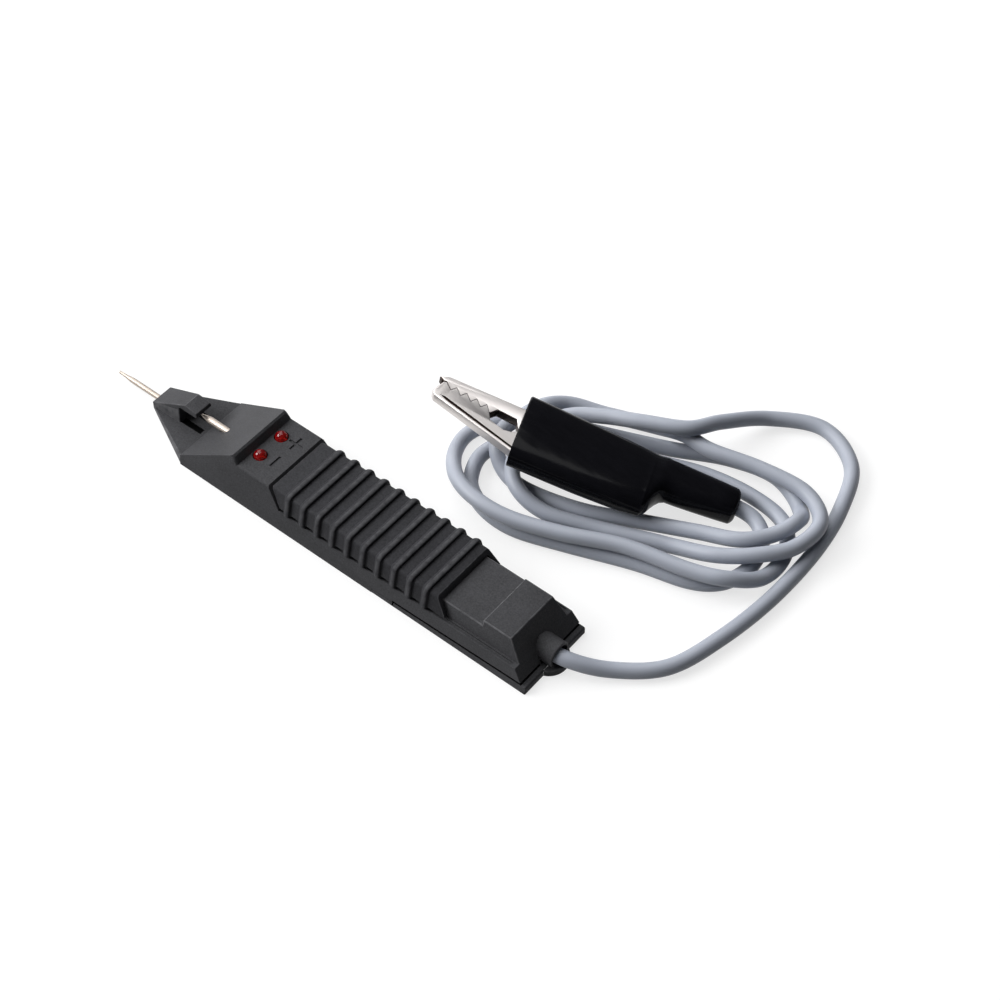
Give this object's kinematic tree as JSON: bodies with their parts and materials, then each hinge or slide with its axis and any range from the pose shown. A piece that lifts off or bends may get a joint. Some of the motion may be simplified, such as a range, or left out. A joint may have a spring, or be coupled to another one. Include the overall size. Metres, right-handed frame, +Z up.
{
  "type": "circuit tester",
  "caption": "Slim vehicle polarity tester with a steel probe, a needle drawn back by a ribbed thumb slide, red lamps, and a looped grey lead ending in a sleeved crocodile clip.",
  "frame": {"origin": "on the ground plane, midway between the probe's tip and the front of the lead's gland, on the housing's centre line", "axes": "+X along the housing towards the lead's gland, so the probe points along -X; +Y to the side where the lead lies; +Z up, out of the face with the lamps and the slide"},
  "size_m": [0.1511, 0.0966, 0.0175],
  "materials": {
    "body_plastic": "fine-grained moulded black",
    "slide_plastic": "fine-grained moulded black",
    "steel": "ground steel",
    "nickel": "nickel-plated sheet",
    "brass": "bare brass",
    "board": "green solder mask",
    "lamp": "clear red resin",
    "resistor": "beige lacquer",
    "diode": "black moulding",
    "carrier": "natural moulding",
    "cable": "smooth grey jacket",
    "sleeve": "soft glossy black"
  },
  "bodies": {
    "tester": {"upper_housing": "body_plastic", "base_cover": "body_plastic", "probe_pin": "steel", "probe_contact": "brass", "circuit_board": "board", "led_plus": "lamp", "led_minus": "lamp", "resistor_left": "resistor", "resistor_right": "resistor", "diode": "diode", "needle_wiper": "brass", "return_spring": "steel", "cover_screw_left": "steel", "cover_screw_right": "steel", "cover_screw_rear": "steel", "cable_clamp": "body_plastic", "inner_lead": "diode", "cable": "cable", "clip_fixed_jaw": "nickel", "clip_rivet": "steel", "clip_spring": "steel", "clip_ferrule": "steel", "clip_sleeve": "sleeve"},
    "slide": {"thumb_slide": "slide_plastic", "needle_carrier": "carrier", "piercing_needle": "steel", "carrier_screw": "steel"},
    "jaw": {"clip_moving_jaw": "nickel"}
  },
  "joints": [
    {"name": "thumb_slide_travel", "type": "slide", "parent": "tester", "child": "slide", "axis": [1, 0, 0], "range_m": [0, 0.009], "stiffness_N_per_m": 250, "deforming": ["return_spring"]},
    {"name": "clip_jaw_hinge", "type": "hinge", "parent": "tester", "child": "jaw", "pos_m": [0.02785, 0.03691, 0.01104], "axis": [0.161, 0.065, 0.9848], "range_deg": [0, 16], "stiffness_Nm_per_rad": 0.3, "deforming": ["clip_spring"]}
  ]
}
